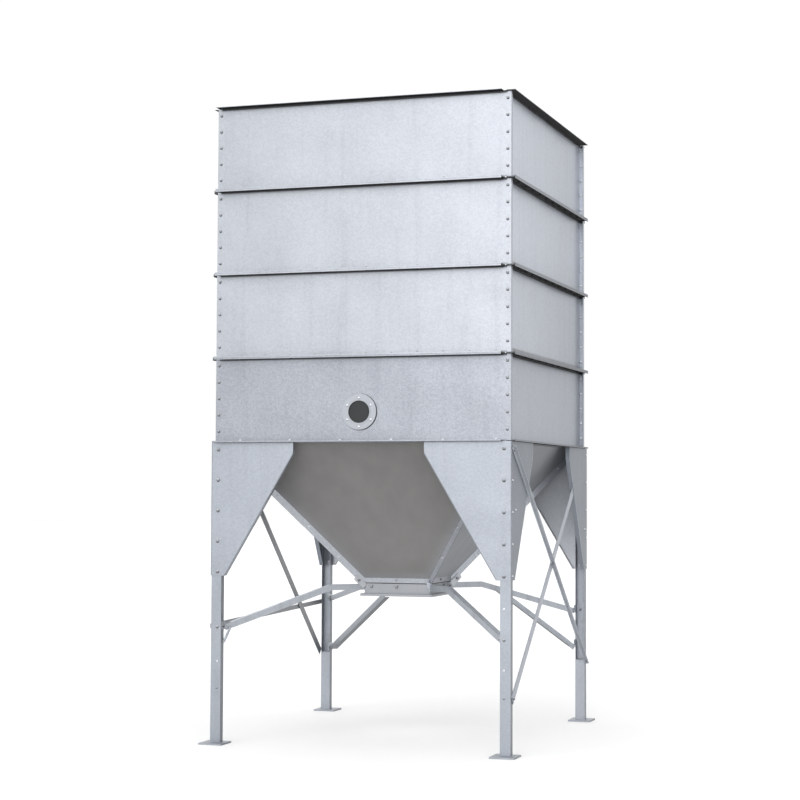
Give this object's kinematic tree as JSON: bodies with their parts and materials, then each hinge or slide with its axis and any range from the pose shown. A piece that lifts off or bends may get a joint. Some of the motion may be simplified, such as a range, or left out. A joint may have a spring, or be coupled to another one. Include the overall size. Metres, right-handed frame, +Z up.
{
  "type": "galvanized steel silo",
  "caption": "Square open-topped bin of bolted sheet panels over a pyramid hopper and a square outlet, on a braced frame of legs; stores and drops dry bulk goods.",
  "frame": {"origin": "on the ground, in the middle of the four foot plates", "axes": "+Z up; the front with the sight glass looks along -Y; +X is the right side seen from the front"},
  "size_m": [1.639, 1.675, 3.2177],
  "materials": {
    "body_steel": "galvanized sheet with a light bluish spangle",
    "frame_steel": "galvanized sections, satin",
    "hopper_steel": "galvanized sheet, dull grey",
    "ring_steel": "dark grey steel ring, satin",
    "dark_glass": "smooth dark pane"
  },
  "bodies": {
    "root": {"wall_front_1": "body_steel", "wall_right_1": "body_steel", "wall_back_1": "body_steel", "wall_left_1": "body_steel", "wall_front_2": "body_steel", "wall_right_2": "body_steel", "wall_back_2": "body_steel", "wall_left_2": "body_steel", "wall_front_3": "body_steel", "wall_right_3": "body_steel", "wall_back_3": "body_steel", "wall_left_3": "body_steel", "wall_front_4": "body_steel", "wall_right_4": "body_steel", "wall_back_4": "body_steel", "wall_left_4": "body_steel", "sight_glass_ring": "ring_steel", "sight_glass_pane": "dark_glass", "hopper_front": "hopper_steel", "hopper_right": "hopper_steel", "hopper_back": "hopper_steel", "hopper_left": "hopper_steel", "outlet_frame": "frame_steel", "leg_front_right": "frame_steel", "leg_back_right": "frame_steel", "leg_back_left": "frame_steel", "leg_front_left": "frame_steel", "gusset_front_right": "frame_steel", "gusset_front_left": "frame_steel", "gusset_back_left": "frame_steel", "gusset_back_right": "frame_steel", "gusset_right_front": "frame_steel", "gusset_right_back": "frame_steel", "gusset_left_front": "frame_steel", "gusset_left_back": "frame_steel", "strut_front_right": "frame_steel", "strut_back_right": "frame_steel", "strut_back_left": "frame_steel", "strut_front_left": "frame_steel", "strut_low_back_left": "frame_steel", "strut_low_back_right": "frame_steel", "brace_right_down": "frame_steel", "brace_right_up": "frame_steel", "brace_left": "frame_steel", "tie_left": "frame_steel"}
  },
  "joints": []
}
